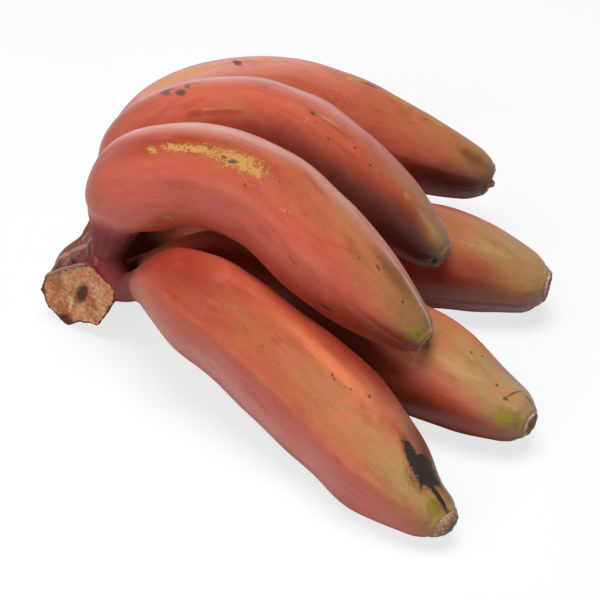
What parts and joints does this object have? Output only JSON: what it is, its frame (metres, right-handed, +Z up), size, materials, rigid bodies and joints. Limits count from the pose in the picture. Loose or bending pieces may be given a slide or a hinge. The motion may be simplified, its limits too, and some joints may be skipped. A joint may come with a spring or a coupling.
{
  "type": "hand of red bananas",
  "caption": "Hand of plump, curved red bananas in two tiers joined at a cut woody crown, lying on its lower tier.",
  "frame": {"origin": "on the surface the hand lies on, under the middle of its bounding box", "axes": "+Z up from the surface, +X from the crown along the mean direction of the fingers, +Y from the front fingers to the back ones"},
  "size_m": [0.2038, 0.2144, 0.0942],
  "materials": {
    "peel": "waxy satin red banana peel, olive green towards the tips",
    "crown": "dull maroon brown stalk skin with a tan fibrous cut face",
    "scar": "dry woody flower scar at a finger's tip"
  },
  "bodies": {
    "root": {"crown": "crown", "lower_front_finger": "peel", "lower_middle_finger": "peel", "lower_back_finger": "peel", "upper_front_finger": "peel", "upper_middle_finger": "peel", "upper_back_finger": "peel"}
  },
  "joints": []
}
